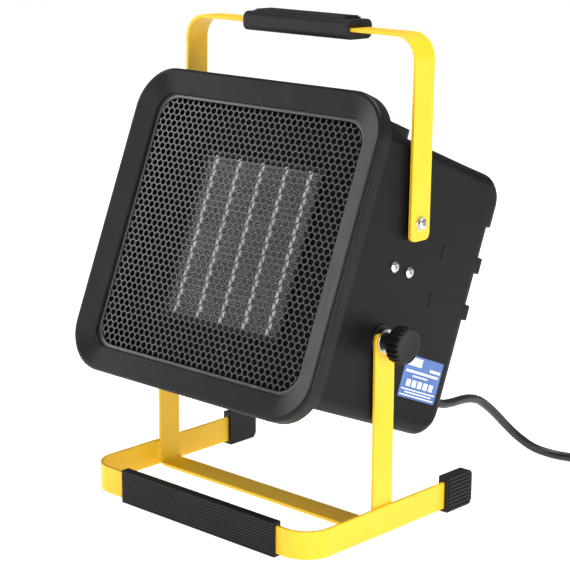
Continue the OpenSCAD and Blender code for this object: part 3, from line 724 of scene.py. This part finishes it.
@dataclass
class Shell:
    """Flared front shell, rear shell, label and control panel."""

    half: float = 130.5
    low: float = -71.0
    high: float = 169.5
    radius: float = 11.0
    seam: float = 22.0
    wall: float = 2.5
    rear: float = 109.0
    tail: float = 22.0
    edge: float = 8.0
    band_rear: float = 114.0
    bands: tuple = ((39, 53), (82, 96.5))
    top_band: float = 125.0
    slots: tuple = ((-40, 34, 7), (58, 78, 2), (101, 121, 2))

    def flare(self, share: float) -> tuple:
        """Section of the flared front at a share of its way back."""
        grow = (1 - share) ** 1.25
        return (self.half + 13.0 * grow, self.low - 15.0 * grow, self.high + 17.5 * grow,
                self.radius + 24.0 * grow, -76.0 + 19.0 * share, 10)

    def rounded_end(self, half: float, low: float, high: float, rear: float, lift: float = 0.0) -> list:
        """Sections that round a block off at its rear, from the straight part back to a small flat."""
        found = []
        for i in range(9):
            angle = math.radians(i * 11.25)
            top = self.tail * (1 - math.cos(angle))
            depth = rear - self.tail * (1 - math.sin(angle))
            side = self.edge * (1 - math.sqrt(max(0.0, 1 - max(0.0, 1 - (rear - depth) / self.edge) ** 2)))
            found.append((half - side, low + top, high - top, self.radius + 0.35 * top + lift, depth, 10))
        return found

    def build(self) -> None:
        """Makes the shells."""
        outside = [self.flare(i / 8) for i in range(9)]
        outside.append((self.half, self.low, self.high, self.radius, self.seam, 10))
        inside = [(h - self.wall, lo + self.wall, hi - self.wall, max(2.0, r - self.wall), d, s)
                  for h, lo, hi, r, d, s in reversed(outside)]
        bm = bmesh.new()
        loft(bm, outside + inside)
        Piece("front_shell", SHELL, "head", ["front_housing"], 50.0).make(bm, HEAD)
        self.build_rear()
        softened("control_panel_top", "control_panel", BLACK, "head", 0.8, 3)
        self.build_label()

    def build_rear(self) -> None:
        """Makes the rear shell with its intake slots, and the raised bands over it."""
        start = [(self.half, self.low, self.high, self.radius, self.seam, 10)]
        outside = start + self.rounded_end(self.half, self.low, self.high, self.rear)
        inside = [(h - self.wall, lo + self.wall, hi - self.wall, max(2.0, r - self.wall),
                   min(d, self.rear - self.wall), s)
                  for h, lo, hi, r, d, s in outside]
        bm = bmesh.new()
        loft(bm, outside, closed=False)
        loft(bm, inside, closed=False)
        ends = [e for e in bm.edges if e.is_boundary and min(v.co.y for v in e.verts) > self.seam + 1]
        bmesh.ops.holes_fill(bm, edges=ends, sides=0)
        bmesh.ops.bridge_loops(bm, edges=[e for e in bm.edges if e.is_boundary])
        shell = Piece("rear_shell", SHELL, "head", ["rear_housing"], 50.0).make(bm, HEAD)
        bm = bmesh.new()
        for low, high, count in self.slots:
            for i in range(count):
                z = low + (i + 0.5) * (high - low) / count
                box(bm, (-75, self.rear - 9, z - 2.5), (75, self.rear + 2, z + 2.5))
        carve(shell, bm, HEAD)
        bm = bmesh.new()
        for low, high in self.bands:
            self.band(bm, low, high)
        Piece("rear_bands", SHELL, "head", (), 35.0).make(bm, HEAD)
        bm = bmesh.new()
        cap = self.rounded_end(self.half + 0.5, self.low, self.high + 0.2, self.band_rear)
        cap = [(self.half - 0.3, self.low, self.high - 0.1, self.radius, 50.0, 10)] + cap
        loft(bm, cap, closed=False)
        bmesh.ops.holes_fill(bm, edges=[e for e in bm.edges if e.is_boundary], sides=0)
        lower = bmesh.ops.bisect_plane(bm, geom=list(bm.verts) + list(bm.edges) + list(bm.faces), dist=1e-4,
                                       plane_co=(0, 0, self.top_band), plane_no=(0, 0, -1), clear_outer=True)
        cut = [e for e in lower["geom_cut"] if isinstance(e, bmesh.types.BMEdge)]
        bmesh.ops.holes_fill(bm, edges=cut, sides=0)
        soften_edges(bm, 1.2, 2, 70)
        Piece("rear_top_band", SHELL, "head", (), 40.0).make(bm, HEAD)

    def band(self, bm: bmesh.types.BMesh, low: float, high: float) -> None:
        """Adds one raised band that runs across the rear and fades out along the sides."""
        verts = box(bm, (-self.half, 50, low), (self.half, self.band_rear, high))
        for v in verts:
            v.co.x += math.copysign(0.3 if v.co.y > 100 else -0.35, v.co.x)
        upright = {e for v in verts for e in v.link_edges
                   if v.co.y > 100 and abs(e.verts[0].co.z - e.verts[1].co.z) > 1}
        bmesh.ops.bevel(bm, geom=list(upright), offset=6.0, segments=5, profile=0.5, affect="EDGES",
                        material=-1)
        sharp = [e for e in bm.edges if e.is_manifold and e.calc_face_angle(0) > 1.2
                 and all(low - 0.1 < v.co.z < high + 0.1 for v in e.verts)
                 and max(v.co.y for v in e.verts) > 60]
        bmesh.ops.bevel(bm, geom=sharp, offset=1.0, segments=2, profile=0.5, affect="EDGES",
                        clamp_overlap=True, material=-1)

    def build_label(self) -> None:
        """Makes the plain blue label with blank print."""
        across, tall, middle = 27.2, 18.7, (67.7, -22.8)
        face = TO_LABEL @ Matrix.Translation((middle[0], middle[1], 0))
        bm = bmesh.new()
        loft_flat(bm, across, tall, 1.2, 0.0, 0.35)
        Piece("label_film_sheet", LABEL, "head", ["rating_label"], 30.0).make(bm, HEAD @ face)
        bm = bmesh.new()
        blocks = [(-25.2, 9.8, -3.5, 17.0), (9.5, 8.0, 25, 10.6), (-24, 3.8, 24, 6.0), (-13, 0.6, 9, 1.9)]
        blocks += [(x, -8.4, x + 6.2, -2.2) for x in (-19.5, -11.2, -2.9, 5.4, 13.7)]
        blocks += [(-25, -11.7, 25, -10.5), (-19, -14.2, 21, -13.0), (-25, -16.9, 25, -15.7)]
        for x0, y0, x1, y1 in blocks:
            box(bm, (x0, y0, 0.3), (x1, y1, 0.42))
        soften_edges(bm, 0.04, 1)
        Piece("label_blank_print", PRINT, "head", (), 30.0).make(bm, HEAD @ face)


def loft_flat(bm: bmesh.types.BMesh, half: float, tall: float, radius: float, low: float,
              high: float) -> None:
    """Adds a thin rounded plate that lies across Z, with softened edges."""
    face = outline(bm, half, -tall, tall, radius, 0.0, 5)
    turn = Matrix.Rotation(math.radians(-90), 4, "X")
    bmesh.ops.transform(bm, matrix=Matrix.Translation((0, 0, low)) @ turn, verts=list(face.verts))
    pulled = bmesh.ops.extrude_face_region(bm, geom=[face], use_keep_orig=True)["geom"]
    bmesh.ops.translate(bm, vec=(0, 0, high - low), verts=verts_in(pulled))
    soften_edges(bm, (high - low) * 0.3, 1, 60)


@dataclass
class HeaterCore:
    """Finned aluminium heating bank behind the grille."""

    pitch: float = 28.2
    tube: float = 5.0
    half: float = 67.0
    tall: float = 73.0
    middle: float = 50.8
    front: float = -59.2
    back: float = -38.5
    fin: float = 1.75

    def build(self) -> None:
        """Makes the fins at their true pitch, and dresses the rest."""
        bm = bmesh.new()
        edges = [-self.half] + [i * self.pitch + s * self.tube / 2 for i in range(-2, 3) for s in (-1, 1)]
        edges.append(self.half)
        for low, high in zip(edges[::2], edges[1::2]):
            for i in range(int(2 * self.tall / self.fin)):
                z = self.middle - self.tall + (i + 0.5) * self.fin
                box(bm, (low, self.front, z - 0.2), (high, self.back, z + 0.2))
        Piece("core_fin_banks", FIN, "head", ["heating_fins"], 30.0).make(bm, HEAD)
        softened("core_tubes", "heating_tubes", TUBE, "head", 0.7, 2)
        softened("core_tray", "core_frame", TRAY, "head", 0.4, 1)
        dress(["ceramic_stones"], CERAMIC)
        dress(["power_tabs"], ALUMINIUM)
        dress(["air_baffle"], DEEP)
        dress(["fan_duct", "fan_blade", "mode_switch", "thermostat", "gland_nut"], BLACK)
        dress(["thermal_cutout", "motor_bracket", "motor_body", "duct_screws", "housing_screws",
               "motor_shaft", "mode_shaft", "thermostat_shaft", "side_bracket_left", "side_bracket_right",
               "handle_nuts", "clamp_nuts"], ZINC)
        dress(["terminal_block"], IVORY)
        dress(["wiring_loom"], CORD)


@dataclass
class SideHardware:
    """Screws, bolts, washers, clamp knobs and dials."""

    face: float = SIDE_FACE
    knob: float = 16.0

    @staticmethod
    def placed(side: int, y: float, z: float) -> Matrix:
        """Stands a turned shape out from one side of the head, side being -1 or 1."""
        return Matrix.Translation((0, y, z)) @ Matrix.Diagonal((side, 1, 1, 1)) @ TO_SIDE

    def screw(self, bm: bmesh.types.BMesh, along: float, radius: float, tall: float, place: Matrix) -> None:
        """Adds a pan head with a cross recess.

        Args:
            bm: mesh to add to.
            along: where its underside is.
            radius: its radius.
            tall: its height.
            place: where it stands.
        """
        top, floor = along + tall, along + tall * 0.35
        verts = lathe(bm, [(along, 0), (along, radius), (along + tall * 0.45, radius),
                           (along + tall * 0.8, radius * 0.84), (top, radius * 0.56), (top, radius * 0.44),
                           (floor, radius * 0.2), (floor, 0)], 32)
        for v in verts:
            reach = math.hypot(v.co.x, v.co.y)
            if abs(reach - radius * 0.44) < 0.05 and v.co.z > along + tall * 0.9:
                cut = 0.62 + 0.38 * abs(math.cos(2 * math.atan2(v.co.y, v.co.x)))
                v.co.x, v.co.y = v.co.x * cut, v.co.y * cut
        bmesh.ops.transform(bm, matrix=place, verts=verts)

    def washer(self, bm: bmesh.types.BMesh, low: float, high: float, bore: float, radius: float,
               place: Matrix) -> None:
        """Adds a washer with broken edges, from low to high along its axis."""
        c = (high - low) * 0.25
        verts = lathe(bm, [(low, bore), (low, radius - c), (low + c, radius), (high - c, radius),
                           (high, radius - c), (high, bore), (low, bore)], 40)
        bmesh.ops.transform(bm, matrix=place, verts=verts)

    def build(self) -> None:
        """Makes the hardware on both sides."""
        bm = bmesh.new()
        for side in (-1, 1):
            for y, z in ((-9.2, 62.2), (12.2, 62.2)):
                self.screw(bm, self.face, 4.9, 2.6, self.placed(side, y, z))
        Piece("bracket_screws", ZINC, "head", ["side_screws"]).make(bm, HEAD)
        bm = bmesh.new()
        for side in (-1, 1):
            self.screw(bm, 138.2, 5.0, 3.0, self.placed(side, *BOLT))
        Piece("handle_bolt_heads", ZINC, "head", ["handle_bolts"]).make(bm, HEAD)
        for name, node, finish, low, high, bore, radius, at in (
                ("handle_washer_rings", "handle_washers", ZINC, 137.05, 138.2, 3.1, 6.2, BOLT),
                ("handle_spacer_rings", "handle_spacers", BLACK, self.face, 133.85, 3.2, 9.0, BOLT),
                ("friction_discs", "friction_washers", BLACK, self.face, 131.9, 4.3, 14.0, (0, 0))):
            bm = bmesh.new()
            for side in (-1, 1):
                self.washer(bm, low, high, bore, radius, self.placed(side, *at))
            Piece(name, finish, "head", [node]).make(bm, HEAD)
        for side, body in ((-1, "clamp_left"), (1, "clamp_right")):
            self.build_knob(side, body)
        for name, x in (("mode", -50.0), ("thermostat", 50.0)):
            self.build_dial(name, x)

    def build_knob(self, side: int, body: str) -> None:
        """Makes one fluted clamp knob, its washer and stud."""
        r = self.knob
        bm = bmesh.new()
        verts = lathe(bm, [(136.6, 4.1), (136.6, 7.5), (143.5, 7.5), (145.0, 8.4), (146.2, 11.5),
                           (147.0, r - 1.2), (147.8, r - 0.3), (149.0, r), (158.0, r), (159.4, r - 0.4),
                           (160.2, r - 1.4), (160.5, r - 2.6), (160.1, r - 5.5), (159.9, 0)], 120)
        flute(verts, r - 1.5, 146.9, 159.6, 20, 0.085, power=2)
        place = Matrix.Diagonal((side, 1, 1, 1)) @ TO_SIDE
        name = "left" if side < 0 else "right"
        Piece(f"clamp_knob_grip_{name}", BLACK, body, [f"clamp_knob_{name}"]).make(bm, HEAD @ place)
        bm = bmesh.new()
        self.washer(bm, 135.1, 136.5, 4.2, 10.5, self.placed(side, 0, 0))
        Piece(f"clamp_washer_ring_{name}", ZINC, body, [f"clamp_washer_{name}"]).make(bm, HEAD)
        dress([f"clamp_stud_{name}"], ZINC)

    def build_dial(self, name: str, x: float) -> None:
        """Makes one dial knob with a skirt, a fluted grip and a pointer."""
        bm = bmesh.new()
        base = 178.3
        verts = lathe(bm, [(base, 3.05), (base, 16.6), (base + 0.5, 17), (base + 1.6, 17),
                           (base + 2.2, 16.2), (base + 2.6, 14), (base + 9, 13.4), (base + 9.8, 12.6),
                           (base + 10, 11.4), (base + 10, 0)], 96)
        flute(verts, 12, base + 2.5, base + 20, 24, 0.05)
        box(bm, (-0.9, 2, base + 9.8), (0.9, 12.5, base + 10.6))
        place = Matrix.Translation((x, -34, 0))
        Piece(f"{name}_dial_grip", BLACK, f"{name}_dial", [f"{name}_knob"]).make(bm, HEAD @ place)


# ---------------------------------------------------------------- stand and handle


@dataclass
class Stand:
    """Flat-strap stand with its rubber feet."""

    def build(self) -> None:
        """Makes the straps, welds and feet."""
        softened("base_bar", "base_strap", YELLOW, "stand", 0.7, 3)
        softened("yoke_bar", "yoke_strap", YELLOW, "stand", 0.7, 3)
        softened("weld_fillets", "weld_beads", YELLOW, "stand", 0.9, 3)
        for node in ("front_foot_pad", "rear_cap_left", "rear_cap_right"):
            softened(f"{node}_rubber", node, RUBBER, "stand", 0.35, 2)


@dataclass
class Handle:
    """Swinging bail with a moulded grip."""

    def build(self) -> None:
        """Makes the strap and its grip."""
        softened("bail_strap", "handle_strap", YELLOW, "handle", 0.7, 3)
        softened("bail_grip", "handle_grip", RUBBER, "handle", 1.6, 4)
        softened("bail_grip_pad", "grip_pad", RUBBER, "handle", 0.3, 2)


def main() -> None:
    """Builds the heater in order."""
    logging.basicConfig(level=logging.INFO, format="%(name)s %(message)s")
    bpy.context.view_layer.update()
    studio = Studio()
    studio.camera()
    PowerCord().build()
    for part in (Stand(), FrontBezel(), Grille(), Shell(), HeaterCore(), SideHardware(), Handle()):
        part.build()
    studio.build()


if __name__ == "__main__":
    main()
